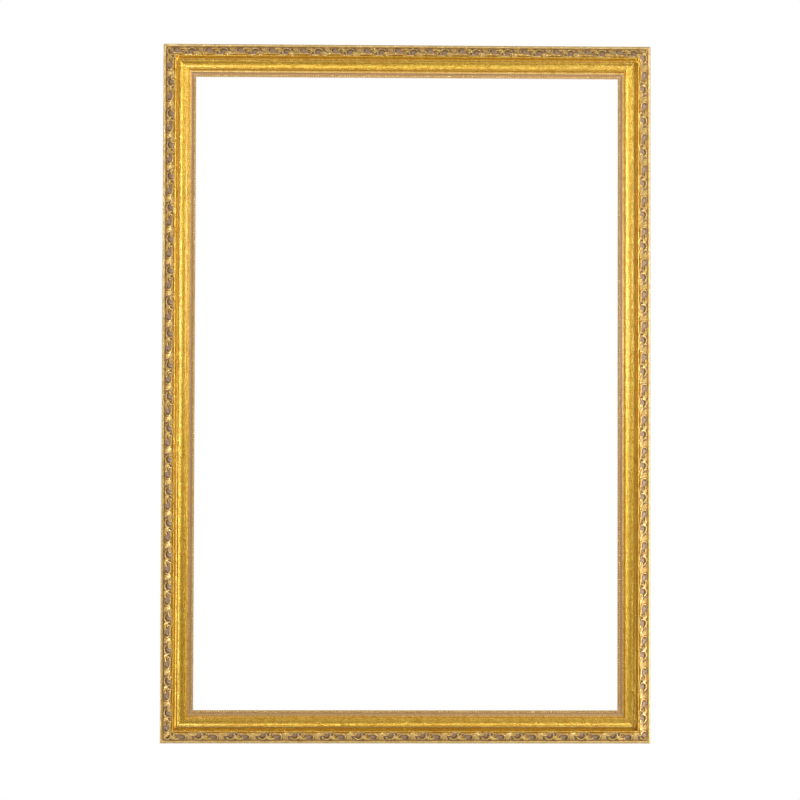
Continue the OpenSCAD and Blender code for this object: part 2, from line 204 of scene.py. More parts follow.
def toned_gold(tree, place, leaf, toned):
    """Share of toning at each place, from bare flecks to full amber, and the gold's colour there."""
    patches = add(tree, "ShaderNodeTexNoise", {"Vector": place, "Scale": 1 / (PATCH_MM * MM), "Detail": 2.0})
    flecks = add(
        tree,
        "ShaderNodeTexNoise",
        {"Vector": place, "Scale": 1 / (FLECK_MM * MM), "Detail": 3.0, "Roughness": 0.6},
    )
    drift = add(
        tree,
        "ShaderNodeMath",
        {0: patches.outputs["Fac"], 1: PATCH_SHARE, 2: flecks.outputs["Fac"]},
        operation="MULTIPLY_ADD",
    )
    tone = add(
        tree,
        "ShaderNodeMapRange",
        {"Value": drift.outputs["Value"], "From Min": 0.52, "From Max": 0.74},
    )
    gold = add(
        tree,
        "ShaderNodeMix",
        {"Factor": tone.outputs["Result"], 6: linear(leaf), 7: linear(toned)},
        data_type="RGBA",
    )
    return tone.outputs["Result"], gold.outputs[2]


def washed_over(tree, place, wash, worn):
    """Share of the leaf that the wash covers at each place, specks included, and the wash's colour there,
    painted darker as shade where the attribute is over 1.
    """
    grime = add(
        tree,
        "ShaderNodeTexNoise",
        {"Vector": place, "Scale": 1 / (GRIME_MM * MM), "Detail": 3.0, "Roughness": 0.6},
    )
    specks = add(
        tree, "ShaderNodeTexVoronoi", {"Vector": place, "Scale": 1 / (SPECK_MM * MM), "Randomness": 1.0}
    )
    speck = add(
        tree,
        "ShaderNodeMapRange",
        {
            "Value": specks.outputs["Distance"],
            "From Min": 0.06,
            "From Max": 0.13,
            "To Min": 0.6,
            "To Max": 0.0,
        },
    )
    lies = add(tree, "ShaderNodeAttribute", attribute_name="wash")
    ragged = add(
        tree,
        "ShaderNodeMapRange",
        {"Value": grime.outputs["Fac"], "From Min": 0.3, "From Max": 0.7, "To Min": -0.25, "To Max": 0.25},
    )
    laid = add(
        tree,
        "ShaderNodeMath",
        {0: lies.outputs["Fac"], 1: ragged.outputs["Result"]},
        operation="ADD",
    )
    soft_wash = add(
        tree,
        "ShaderNodeMapRange",
        {"Value": laid.outputs["Value"], "From Min": 0.25, "From Max": 0.75, "To Min": worn, "To Max": 1.0},
        interpolation_type="SMOOTHSTEP",
    )
    cover = add(
        tree,
        "ShaderNodeMath",
        {0: soft_wash.outputs["Result"], 1: speck.outputs["Result"]},
        operation="MAXIMUM",
    )
    # Over 1 the wash turns dark brown: painted shade in creases and round the leaves, over wash pooled there
    pooled_and_shaded = add(
        tree,
        "ShaderNodeMapRange",
        {"Value": laid.outputs["Value"], "From Min": 0.9, "From Max": 2.0},
    )
    shade = add(
        tree,
        "ShaderNodeMix",
        {"Factor": pooled_and_shaded.outputs["Result"], 6: linear(wash), 7: linear(POOLED_AND_SHADED)},
        data_type="RGBA",
    )
    return cover.outputs["Value"], shade.outputs[2]


def gilding(name, leaf, toned, wash, rough, lump_mm, lump_h, worn=0.0, metal=0.6):
    """Metal leaf under amber toning, rubbed through in fine flecks, with an umber wash in the hollows.

    The flecks are bright metal, and the toning between them keeps the given share of it. The wash attribute
    says where the wash covers the leaf, up to 1, and where it turns darker, up to 2: painted shade in
    creases and round the leaves, over wash pooled there. Worn is the least share of it all over.
    """
    mat, tree, shader = new_material(name)
    place = add(tree, "ShaderNodeTexCoord").outputs["Object"]
    tone, gold = toned_gold(tree, place, leaf, toned)
    cover, shade = washed_over(tree, place, wash, worn)
    lumps = add(
        tree,
        "ShaderNodeTexNoise",
        {"Vector": place, "Scale": 1 / (lump_mm * MM), "Detail": 2.0, "Roughness": 0.55},
    )
    colour = add(tree, "ShaderNodeMix", {"Factor": cover, 6: gold, 7: shade}, data_type="RGBA")
    bare_metal = add(tree, "ShaderNodeMapRange", {"Value": tone, "To Min": 1.0, "To Max": metal})
    metallic = add(
        tree,
        "ShaderNodeMapRange",
        {"Value": cover, "To Min": bare_metal.outputs["Result"], "To Max": 0.0},
    )
    bare_rough = add(tree, "ShaderNodeMapRange", {"Value": tone, "To Min": rough, "To Max": rough + 0.16})
    shine = add(
        tree,
        "ShaderNodeMapRange",
        {"Value": cover, "To Min": bare_rough.outputs["Result"], "To Max": 0.7},
    )
    relief = add(tree, "ShaderNodeBump", {"Height": lumps.outputs["Fac"], "Distance": lump_h * MM})
    tree.links.new(colour.outputs[2], shader.inputs["Base Color"])
    tree.links.new(metallic.outputs["Result"], shader.inputs["Metallic"])
    tree.links.new(shine.outputs["Result"], shader.inputs["Roughness"])
    tree.links.new(relief.outputs["Normal"], shader.inputs["Normal"])
    shader.inputs["Coat Weight"].default_value = 0.6
    shader.inputs["Coat Roughness"].default_value = 0.2
    return mat


# Width and length of the wood's streaks, in millimetres
STREAK_W = 1.6
STREAK_L = 60


def raw_wood(name, along):
    """Planed softwood: pale, with darker late-wood streaks that run along the rail."""
    mat, tree, shader = new_material(name)
    place = add(tree, "ShaderNodeTexCoord").outputs["Object"]
    stretch = [1 / (STREAK_W * MM)] * 3
    stretch[along] = 1 / (STREAK_L * MM)
    laid = add(tree, "ShaderNodeMapping", {"Vector": place, "Scale": stretch})
    grain = add(tree, "ShaderNodeTexNoise", {"Vector": laid.outputs["Vector"], "Scale": 1.0, "Detail": 4.0})
    tone = add(tree, "ShaderNodeMapRange", {"Value": grain.outputs["Fac"], "From Min": 0.3, "From Max": 0.7})
    colour = add(
        tree,
        "ShaderNodeMix",
        {"Factor": tone.outputs["Result"], 6: linear("#D9B98A"), 7: linear("#B98F5C")},
        data_type="RGBA",
    )
    relief = add(tree, "ShaderNodeBump", {"Height": grain.outputs["Fac"], "Distance": 0.08 * MM})
    tree.links.new(colour.outputs[2], shader.inputs["Base Color"])
    tree.links.new(relief.outputs["Normal"], shader.inputs["Normal"])
    shader.inputs["Roughness"].default_value = 0.62
    return mat


def plated(name, bright, dull, rough, grain_mm):
    """Stamped sheet or wire with a thin plating, slightly clouded and scuffed."""
    mat, tree, shader = new_material(name)
    place = add(tree, "ShaderNodeTexCoord").outputs["Object"]
    cloud = add(tree, "ShaderNodeTexNoise", {"Vector": place, "Scale": 1 / (grain_mm * MM), "Detail": 4.0})
    tone = add(
        tree,
        "ShaderNodeMapRange",
        {"Value": cloud.outputs["Fac"], "From Min": 0.35, "From Max": 0.65},
    )
    colour = add(
        tree,
        "ShaderNodeMix",
        {"Factor": tone.outputs["Result"], 6: linear(bright), 7: linear(dull)},
        data_type="RGBA",
    )
    shine = add(
        tree,
        "ShaderNodeMapRange",
        {"Value": tone.outputs["Result"], "To Min": rough, "To Max": rough + 0.18},
    )
    relief = add(tree, "ShaderNodeBump", {"Height": cloud.outputs["Fac"], "Distance": 0.02 * MM})
    tree.links.new(colour.outputs[2], shader.inputs["Base Color"])
    tree.links.new(shine.outputs["Result"], shader.inputs["Roughness"])
    tree.links.new(relief.outputs["Normal"], shader.inputs["Normal"])
    shader.inputs["Metallic"].default_value = 1.0
    return mat


def rubber(name):
    """Moulded black rubber: matt, with a fine pebbled skin."""
    mat, tree, shader = new_material(name)
    place = add(tree, "ShaderNodeTexCoord").outputs["Object"]
    pebble = add(tree, "ShaderNodeTexNoise", {"Vector": place, "Scale": 1 / (0.5 * MM), "Detail": 2.0})
    relief = add(tree, "ShaderNodeBump", {"Height": pebble.outputs["Fac"], "Distance": 0.05 * MM})
    colour = add(
        tree,
        "ShaderNodeMix",
        {"Factor": pebble.outputs["Fac"], 6: linear("#2A2928"), 7: linear("#3B3937")},
        data_type="RGBA",
    )
    tree.links.new(colour.outputs[2], shader.inputs["Base Color"])
    tree.links.new(relief.outputs["Normal"], shader.inputs["Normal"])
    shader.inputs["Roughness"].default_value = 0.75
    return mat


UMBER = "#9A7A5C"
# Dark brown for painted shade in creases, at the pearls' feet and round the leaves, over wash pooled there
POOLED_AND_SHADED = "#54391F"
BARE_GOLD = "#F5D75E"
AMBER_GOLD = "#C48608"
burnished = gilding("burnished_gold_leaf", BARE_GOLD, AMBER_GOLD, UMBER, 0.27, 2.6, 0.20, metal=0.85)
dimpled = gilding("dimpled_gold_leaf", BARE_GOLD, AMBER_GOLD, UMBER, 0.28, 2.2, 0.70, metal=0.85)
toned_leaf = gilding("toned_gold_leaf", "#F6DE9C", "#C8A058", "#9C805F", 0.34, 1.8, 0.20, worn=0.06)
pale_leaf = gilding("pale_gold_leaf", "#F6DA8C", "#CC9A40", "#A88452", 0.36, 1.8, 0.15, worn=0.03)
carved_leaf = gilding(
    "gilded_composition", "#F8DE90", "#C89840", "#A88A6E", 0.34, 1.2, 0.10, worn=0.03, metal=0.5
)
umber_wash = gilding("umber_wash", "#DCB482", "#CCA068", "#C8A67E", 0.6, 1.6, 0.15, worn=0.8)
wood_across = raw_wood("raw_softwood_across", 0)
wood_upright = raw_wood("raw_softwood_upright", 2)
zinc = plated("zinc_plated_steel", "#C9CACB", "#A3A5A8", 0.28, 3.0)
bright_steel = plated("bright_steel", "#B9B7B3", "#8E8B86", 0.32, 2.0)
brassed = plated("brass_plated_steel", "#D3AC62", "#B08A48", 0.27, 4.0)
black_rubber = rubber("black_rubber")


# Mesh helpers


def arc(centre, radius, start, end, steps):
    """Points along part of a circle. Angles are in degrees."""
    turns = [math.radians(start + (end - start) * i / steps) for i in range(steps + 1)]
    return [(centre[0] + radius * math.cos(a), centre[1] + radius * math.sin(a)) for a in turns]


def angle_of(centre, point):
    """Direction from a centre to a point, in degrees from 0 to 360."""
    return math.degrees(math.atan2(point[1] - centre[1], point[0] - centre[0])) % 360


def line(start, end, steps):
    """Evenly spaced points from start to end."""
    return [tuple(s + (e - s) * i / steps for s, e in zip(start, end)) for i in range(steps + 1)]


def block(bm, low, high):
    """Adds a block between two corners and returns its vertices."""
    made = bmesh.ops.create_cube(bm, size=1)["verts"]
    bmesh.ops.scale(bm, verts=made, vec=Vector(high) - Vector(low))
    bmesh.ops.translate(bm, verts=made, vec=(Vector(high) + Vector(low)) / 2)
    return made


def carve(bm, cutter):
    """Cuts the cutter's shape out of a closed mesh."""
    pair = []
    for shape in (bm, cutter):
        mesh = bpy.data.meshes.new("carving")
        shape.to_mesh(mesh)
        pair.append(bpy.data.objects.new("carving", mesh))
        bpy.context.scene.collection.objects.link(pair[-1])
    cut = pair[0].modifiers.new("cut", "BOOLEAN")
    cut.object = pair[1]
    cut.solver = "EXACT"
    carved = pair[0].evaluated_get(bpy.context.evaluated_depsgraph_get())
    bm.clear()
    bm.from_mesh(carved.to_mesh())
    cutter.free()
    for made in pair:
        bpy.data.meshes.remove(made.data)


def finish_mesh(bm, name, materials, smooth_angle=32):
    """Turns a bmesh into an object at the origin, smooth but for its sharp edges."""
    limit = math.radians(smooth_angle)
    for face in bm.faces:
        face.smooth = True
    for edge in bm.edges:
        edge.smooth = len(edge.link_faces) == 2 and edge.calc_face_angle(0.0) < limit
    mesh = bpy.data.meshes.new(name)
    bm.to_mesh(mesh)
    bm.free()
    for mat in materials:
        mesh.materials.append(mat)
    made = bpy.data.objects.new(name, mesh)
    bpy.context.scene.collection.objects.link(made)
    return made


def stand_for(made, node):
    """The piece moves with the CAD node's body and stands in for the node, which is hidden."""
    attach(made, body_of(frame["nodes"][node])[0])
    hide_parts(node)


MITRE_GAP = 0.04


def cut_mitres(bm, length):
    """Cuts both ends of a rail at 45 degrees, in rail coordinates, and returns the cut edges of each end."""
    cuts = []
    near = (Vector((MITRE_GAP, 0, 0)), Vector((-1, 1, 0)))
    far = (Vector((length - MITRE_GAP, 0, 0)), Vector((1, 1, 0)))
    for place, normal in (near, far):
        geom = bm.verts[:] + bm.edges[:] + bm.faces[:]
        made = bmesh.ops.bisect_plane(
            bm, geom=geom, plane_co=place, plane_no=normal, clear_outer=True, dist=1e-5
        )
        cuts.append([g for g in made["geom_cut"] if isinstance(g, bmesh.types.BMEdge)])
    return cuts


# Rails: the moulding's outline, drawn along each side and mitred

cove_chord = math.hypot(COVE_W, COVE_FALL)
cove_back = math.sqrt(COVE_R**2 - cove_chord**2 / 4)
COVE_MID = Vector(
    (
        U_COVE + COVE_W / 2 + cove_back * COVE_FALL / cove_chord,
        H_COVE + COVE_FALL / 2 + cove_back * COVE_W / cove_chord,
    )
)
ASTRAGAL_R = ASTRAGAL_W / 2
ASTRAGAL_MID = Vector((U_ASTRAGAL + ASTRAGAL_R, H_ASTRAGAL))
SCOOP_MID = Vector((U_SCOOP + SCOOP_LEAD, H_SCOOP + SCOOP_R))
U_ROLL = U_DROP - CREST_R
ROLL_MID = Vector((U_ROLL, SCOOP_MID.y - math.sqrt(SCOOP_R**2 - (U_ROLL - SCOOP_MID.x) ** 2)))
# The sweep touches the small half-round outside and the scoop inside
sweep_reach = SWEEP_R + ASTRAGAL_R
sweep_inset = SCOOP_R - SWEEP_R
scoop_span = (SCOOP_MID - ASTRAGAL_MID).length
scoop_way = (SCOOP_MID - ASTRAGAL_MID) / scoop_span
sweep_along = (sweep_reach**2 - sweep_inset**2 + scoop_span**2) / (2 * scoop_span)
sweep_aside = math.sqrt(sweep_reach**2 - sweep_along**2)
SWEEP_MID = ASTRAGAL_MID + sweep_along * scoop_way + sweep_aside * Vector((scoop_way.y, -scoop_way.x))


def moulding_outline():
    """The moulding's section, from the back's outer corner over the front to the rebate."""
    bead = arc((BEAD_W / 2, BEAD_H), BEAD_W / 2, 180, 0, 22)
    ridge = arc((U_RIDGE + RIDGE_W / 2, H_RIDGE), RIDGE_W / 2, 180, 0, 18)
    foot = (U_ASTRAGAL, H_COVE)
    cove = arc(COVE_MID, COVE_R, angle_of(COVE_MID, (U_COVE, H_RIDGE)), angle_of(COVE_MID, foot), 16)
    crook = angle_of(ASTRAGAL_MID, SWEEP_MID)
    astragal = arc(ASTRAGAL_MID, ASTRAGAL_R, angle_of(ASTRAGAL_MID, foot), crook, 10)
    meet = angle_of(SCOOP_MID, SWEEP_MID)
    sweep = arc(SWEEP_MID, SWEEP_R, crook + 180, meet, 8)
    roll_share = math.degrees(2 * math.asin(CREST_R / 2 / SCOOP_R))
    scoop = arc(SCOOP_MID, SCOOP_R, meet, angle_of(SCOOP_MID, ROLL_MID) - roll_share, 20)
    roll = arc(ROLL_MID, CREST_R, angle_of(ROLL_MID, scoop[-1]), DROP_LEAN, 8)
    outline = line((0, 0), (0, BEAD_H), 12) + bead
    outline += line((U_BED, BED_LOW), (U_RIDGE, BED_HIGH), 6) + ridge
    outline += cove + astragal[1:] + sweep[1:] + scoop[1:] + roll
    outline += line(roll[-1], (U_FILLET, H_FILLET), 6)
    outline += line((U_FILLET, H_FILLET), (U_GROOVE, H_FILLET), 6)
    outline += line((U_GROOVE, H_FILLET), (U_GROOVE, H_GROOVE), 3)
    outline += line((U_GROOVE, H_GROOVE), (U_PEARL, H_GROOVE), 4)
    outline += [(U_PEARL, H_SEAT), (FACE_W, H_SEAT), (FACE_W, REBATE_DEPTH)]
    outline += [(U_REBATE, REBATE_DEPTH), (U_REBATE, 0)]
    return outline


BEAD, GOLD, DIMPLED, PALE, WASH, WOOD = range(6)
# Hollows that hold the wash and a painted shade: place, height and how far it spreads, in millimetres
HOLLOWS = [
    (U_BED, BEAD_H + 0.3, 1.3),
    (U_ASTRAGAL, H_COVE, 0.6),
]
# The wash attribute in the middle of a hollow: over 1, so that the wash pools there and is painted darker as
# crease shade
HOLLOW_WASH_AND_SHADE = 1.5
# Slots for the corner nails: their places along the mitre, and the length, thickness and depth of one leg
NAIL_PLACES = (13.0, 30.0)
NAIL_LEG = 7.0
NAIL_T = 0.5
NAIL_DEEP = 10.5
NAIL_GAP = 0.05
# How far the moulding is drawn past its mitres. Edges sharper than the angle are arrises, rounded this much
RAIL_OVERRUN = 1
ARRIS_ANGLE = math.radians(55)
ARRIS_R = 0.14
# How near an edge of the section a face still counts as at it
EDGE_NEAR = 0.1


def finish_at(u, h, normal):
    """Which finish a face of the moulding has."""
    bare = normal.z < -0.5 or (u > U_REBATE - EDGE_NEAR and h < REBATE_DEPTH + 0.05)
    if bare or abs(normal.x) > 0.1:
        return WOOD
    if u < U_BED:
        return BEAD
    if u < U_RIDGE:
        return WASH
    if u < U_SCOOP:
        return GOLD
    if u < U_FILLET:
        return DIMPLED
    if u < U_GROOVE:
        return PALE
    return WASH if u < FACE_W - EDGE_NEAR else BEAD


def nail_slots(length):
    """Cutter for the nail slots at both ends of a rail."""
    cutter = bmesh.new()
    for place in NAIL_PLACES:
        near = place - NAIL_GAP
        far = place + NAIL_LEG + NAIL_GAP
        side = place + NAIL_T + NAIL_GAP
        block(cutter, (near, near, -NAIL_DEEP), (far, side, NAIL_DEEP))
        block(cutter, (length - far, near, -NAIL_DEEP), (length - near, side, NAIL_DEEP))
    return cutter


def rail(side):
    """One mitred rail of moulding, gilded in front and bare wood behind."""
    length = SIDES[side][3]
    bm = bmesh.new()
    ring = [bm.verts.new((-RAIL_OVERRUN, u, h)) for u, h in moulding_outline()]
    bm.faces.new(ring)
    bmesh.ops.remove_doubles(bm, verts=bm.verts[:], dist=0.02)
    made = bmesh.ops.extrude_face_region(bm, geom=bm.faces[:])
    far = [g for g in made["geom"] if isinstance(g, bmesh.types.BMVert)]
    bmesh.ops.translate(bm, verts=far, vec=(length + 2 * RAIL_OVERRUN, 0, 0))
    bmesh.ops.recalc_face_normals(bm, faces=bm.faces[:])
    arrises = [
        e
        for e in bm.edges
        if e.calc_face_angle(0.0) > ARRIS_ANGLE and abs(e.verts[0].co.x - e.verts[1].co.x) > 1
    ]
    bmesh.ops.bevel(bm, geom=arrises, offset=ARRIS_R, segments=2, profile=0.5, affect="EDGES", material=-1)
    for edges in cut_mitres(bm, length):
        bmesh.ops.edgeloop_fill(bm, edges=edges)
    bmesh.ops.recalc_face_normals(bm, faces=bm.faces[:])
    carve(bm, nail_slots(length))
    for face in bm.faces:
        centre = face.calc_center_median()
        face.material_index = finish_at(centre.y, centre.z, face.normal)
    # The creases at the bead and at the cove's foot get painted shade over their wash
    wash = bm.verts.layers.float.new("wash")
    for vert in bm.verts:
        spread = [1 - math.hypot(vert.co.y - u, vert.co.z - h) / reach for u, h, reach in HOLLOWS]
        vert[wash] = HOLLOW_WASH_AND_SHADE * max(0.0, *spread)
    bm.transform(side_matrix(side))
    wood = wood_across if side in ("top", "bottom") else wood_upright
    made = finish_mesh(bm, "moulding_" + side, [toned_leaf, burnished, dimpled, pale_leaf, umber_wash, wood])
    stand_for(made, "rail_" + side)


# Leaf ornament: a relief of tapered leaves, worked out for one repeat and pressed along each bed

# Each stroke of the carver: its points, as distance along the repeat and place in from the outer edge,
# its half widths and its heights at the start, the middle and the end, and the depth of its middle groove
STROKES = [
    # Low bodies that the leaves grow from
    ([(33.8, 15.0), (31.6, 11.0), (31.8, 6.0)], (2.2, 3.0, 3.2), (1.5, 1.2, 0.9), 0),
    ([(12.2, 11.0), (9.6, 8.4), (5.6, 7.2), (1.6, 7.4)], (1.8, 2.4, 1.2), (1.6, 1.3, 0.8), 0),
    (
        [(21.8, 16.4), (25.4, 14.4), (30.0, 15.2), (35.0, 15.8), (43.0, 15.6), (52.0, 15.4)],
        (1.4, 1.9, 1.2),
        (1.2, 1.1, 0.8),
        0,
    ),
    # Fan of three blades
    (
        [(33.4, 15.0), (30.8, 12.6), (28.9, 10.0), (28.0, 7.4), (27.9, 5.0)],
        (1.1, 1.3, 1.0),
        (2.3, 2.2, 1.5),
        0,
    ),
    ([(34.0, 14.6), (31.9, 11.4), (30.9, 8.4), (31.0, 5.0)], (1.0, 1.1, 0.8), (2.5, 2.3, 1.6), 0),
    (
        [(35.2, 14.0), (33.5, 11.2), (33.1, 8.4), (34.0, 6.2), (36.2, 5.2)],
        (1.0, 1.3, 0.8),
        (2.5, 2.6, 1.6),
        0,
    ),
    # Open scroll, and the ribbon below it
    (
        [
            (39.4, 6.4),
            (37.0, 7.2),
            (35.9, 9.4),
            (36.2, 11.8),
            (38.0, 13.8),
            (41.2, 14.8),
            (45.0, 14.8),
            (49.6, 13.6),
        ],
        (0.7, 1.7, 0.7),
        (2.4, 2.9, 1.5),
        0.2,
    ),
    (
        [(28.4, 14.0), (31.5, 15.8), (36.0, 16.7), (42.0, 16.8), (48.0, 16.6), (53.6, 16.0)],
        (0.9, 0.9, 0.6),
        (1.7, 1.5, 1.2),
        0,
    ),
    # Leaf with four lobes, and its berry
    ([(12.0, 8.6), (9.0, 6.5), (5.0, 5.9), (0.0, 6.3)], (1.4, 1.5, 0.9), (2.7, 2.6, 1.6), 0.12),
    ([(11.8, 9.4), (8.6, 8.2), (5.4, 8.0), (1.6, 8.9)], (1.3, 1.4, 0.8), (2.8, 2.6, 1.5), 0.1),
    ([(11.8, 10.2), (9.0, 10.0), (6.8, 10.6), (5.0, 12.0)], (1.2, 1.2, 0.7), (2.6, 2.2, 1.2), 0.1),
    ([(12.0, 10.8), (10.2, 11.2), (8.0, 12.6), (6.8, 15.0)], (1.1, 1.2, 0.8), (2.2, 1.8, 1.1), 0),
    ([(12.5, 14.0), (12.7, 14.1)], (1.5, 1.5, 1.5), (2.3, 2.3, 2.3), 0),
    # Arching leaf, the lobe under it, and the slip of leaf beside the bead
    (
        [(12.0, 12.2), (12.8, 9.4), (14.8, 7.2), (17.8, 6.4), (21.2, 7.2), (24.0, 9.8)],
        (1.2, 1.8, 0.8),
        (2.4, 3.0, 1.8),
        0.2,
    ),
    (
        [(20.8, 16.4), (21.4, 13.8), (23.8, 12.4), (27.0, 12.7), (30.2, 14.2), (33.4, 15.6)],
        (0.9, 1.7, 1.0),
        (1.8, 2.4, 1.7),
        0.2,
    ),
    ([(22.6, 7.6), (25.0, 5.6), (28.2, 5.2)], (1.0, 0.6, 0.3), (1.6, 1.1, 0.7), 0),
]
# Swellings in the floors of the hollows between the leaves, written in the same way
SWELLINGS = [
    ([(18.4, 11.6), (18.0, 14.4)], (2.4, 2.8, 2.4), (0.7, 0.9, 0.8), 0),
    ([(41.2, 10.2), (44.6, 9.8)], (2.6, 2.8, 2.2), (0.8, 0.9, 0.7), 0),
]
# Where the repeat stands at the middle of each side, and the length of one repeat there, in millimetres
STANDS = {"top": (10.0, 45.3), "right": (5.1, 45.0), "bottom": (41.0, 45.37), "left": (24.4, 45.0)}
# The relief's grid: steps along one repeat and across the bed. The ornament sinks a little into the bed
COLUMNS = 100
ROWS = 34
ORNAMENT_SINK = 0.05
# Leaf heights between which the wash thins out, and the height that no leaf rises over
BARE_H = 0.25
LEAF_CLEAR_H = 0.8
TOP_H = H_RIDGE + RIDGE_W / 2 - 0.1
# How much wider and higher the strokes are drawn than noted, how blunt a leaf's back is, where less is
# blunter, and how wide the groove along it is, as a share of the leaf's width
LEAF_SPREAD = 1.15
LEAF_RISE = 1.15
LEAF_BLUNT = 0.6
GROOVE_SPREAD = 0.25
# The wash is wiped off over the last rows beside the ridge. It pools, and is painted darker as the leaves'
# shade, within so many grid steps of leaves, most where they stand so high round it on average
WIPED_ROWS = 7
POOL_AND_SHADE_REACH = 3
POOL_AND_SHADE_H = 1.2
# Over its outer rows the ornament thins down to its edge, where so much of a leaf's height is left
RIM_ROWS = 3
RIM_SHARE = 0.3


def smooth_path(points, per_span=8):
    """Points along a smooth curve through the given ones, with the share of its length so far."""
    ends = [np.array(p, float) for p in points]
    ends = [2 * ends[0] - ends[1]] + ends + [2 * ends[-1] - ends[-2]]
    path = []
    for a, b, c, d in zip(ends, ends[1:], ends[2:], ends[3:]):
        slope = c - a
        curve = 2 * a - 5 * b + 4 * c - d
        twist = 3 * b - a - 3 * c + d
        for t in np.arange(per_span) / per_span:
            path.append(0.5 * (2 * b + slope * t + curve * t**2 + twist * t**3))
    path.append(ends[-2])
    path = np.array(path)
    steps = np.linalg.norm(np.diff(path, axis=0), axis=1)
    return path, np.concatenate([[0], np.cumsum(steps)]) / steps.sum()


def pressed(strokes):
    """Height of the strokes over the ground, in millimetres, at each column and row of one repeat."""
    reach = np.arange(COLUMNS) * REPEAT / COLUMNS
    along, across = np.meshgrid(reach, np.linspace(0, BED_L, ROWS + 1), indexing="ij")
    height = np.zeros_like(along)
    for points, widths, peaks, groove in strokes:
        path, shares = smooth_path([(x, (u - U_BED) / BED_W * BED_L) for x, u in points])
        width = np.interp(shares, [0, 0.5, 1], widths)
        peak = np.interp(shares, [0, 0.5, 1], peaks)
        for wrap in (-REPEAT, 0, REPEAT):
            for k in range(len(path) - 1):
                start = path[k] + (wrap, 0)
                span = path[k + 1] - path[k]
                share = ((along - start[0]) * span[0] + (across - start[1]) * span[1]) / (span @ span)
                share = np.clip(share, 0, 1)
                far = np.hypot(along - start[0] - share * span[0], across - start[1] - share * span[1])
                off = far / (LEAF_SPREAD * (width[k] + share * (width[k + 1] - width[k])))
                crest = LEAF_RISE * (peak[k] + share * (peak[k + 1] - peak[k]))
                veined = 1 - groove * np.exp(-((off / GROOVE_SPREAD) ** 2))
                height = np.maximum(height, crest * np.clip(1 - off**2, 0, 1) ** LEAF_BLUNT * veined)
    return height


def crowded(leaves):
    """How high the leaves stand round each place, in millimetres, as a mean over a small square: it sets
    their painted shade.
    """
    steps = range(-POOL_AND_SHADE_REACH, POOL_AND_SHADE_REACH + 1)
    along = sum(np.roll(leaves, step, axis=0) for step in steps) / len(steps)
    padded = np.pad(along, ((0, 0), (POOL_AND_SHADE_REACH, POOL_AND_SHADE_REACH)), mode="edge")
    rows = leaves.shape[1]
    return sum(padded[:, POOL_AND_SHADE_REACH + step : POOL_AND_SHADE_REACH + step + rows] for step in steps) / len(steps)


def bed_height(u):
    """Height of the ornament bed at a place across the moulding."""
    return BED_LOW + (u - U_BED) * BED_RISE / BED_W


def ornament(side, leaves, floor, crowding_shade):
    """One run of leaf ornament, pressed against the moulding's bed."""
    length = SIDES[side][3]
    stand, pitch = STANDS[side]
    cell = pitch / COLUMNS
    columns = math.ceil(length / cell)
    shift = round(stand / REPEAT * COLUMNS + length / 2 / cell)
    bm = bmesh.new()
    bmesh.ops.create_grid(bm, x_segments=columns, y_segments=ROWS, size=0.5)
    wash = bm.verts.layers.float.new("wash")
    for vert in bm.verts:
        column = round((vert.co.x + 0.5) * columns)
        row = round((vert.co.y + 0.5) * ROWS)
        step = (shift - column) % COLUMNS
        leaf = leaves[step, row]
        bulge = max(leaf, floor[step, row])
        rim = min(1, min(row, ROWS - row) / RIM_ROWS)
        u = U_BED + BED_W * row / ROWS
        lift = (GROUND_T * rim + bulge * max(rim, RIM_SHARE)) / math.cos(BED_SLOPE)
        vert.co = (column * cell, u, min(TOP_H, bed_height(u) + lift))
        covered = 1 - min(1, max(0, leaf - BARE_H) / (LEAF_CLEAR_H - BARE_H))
        covered *= min(1, (ROWS - row) / WIPED_ROWS)
        # Over 1 where leaves stand round: painted shade of the leaves in the hollows, over the wash pooled
        # there
        vert[wash] = covered * (1 + min(1, crowding_shade[step, row] / POOL_AND_SHADE_H))
    cut_mitres(bm, length)
    made = bmesh.ops.extrude_edge_only(bm, edges=[e for e in bm.edges if e.is_boundary])
    for under in made["geom"]:
        if isinstance(under, bmesh.types.BMVert):
            under.co.z = bed_height(under.co.y) - ORNAMENT_SINK
    bmesh.ops.edgeloop_fill(bm, edges=[e for e in bm.edges if e.is_boundary])
    bmesh.ops.recalc_face_normals(bm, faces=bm.faces[:])
    bm.transform(side_matrix(side))
    made = finish_mesh(bm, "leaf_ornament_" + side, [carved_leaf], smooth_angle=70)
    stand_for(made, "ornament_" + side)


THREAD_R = 0.65
# The wash attribute at a pearl's foot, over 1 for painted shade between the pearls, and the share of its
# height that the wash and shade reach
PEARL_FOOT_WASH_AND_SHADE = 2
PEARL_WASHED_AND_SHADED = 0.8


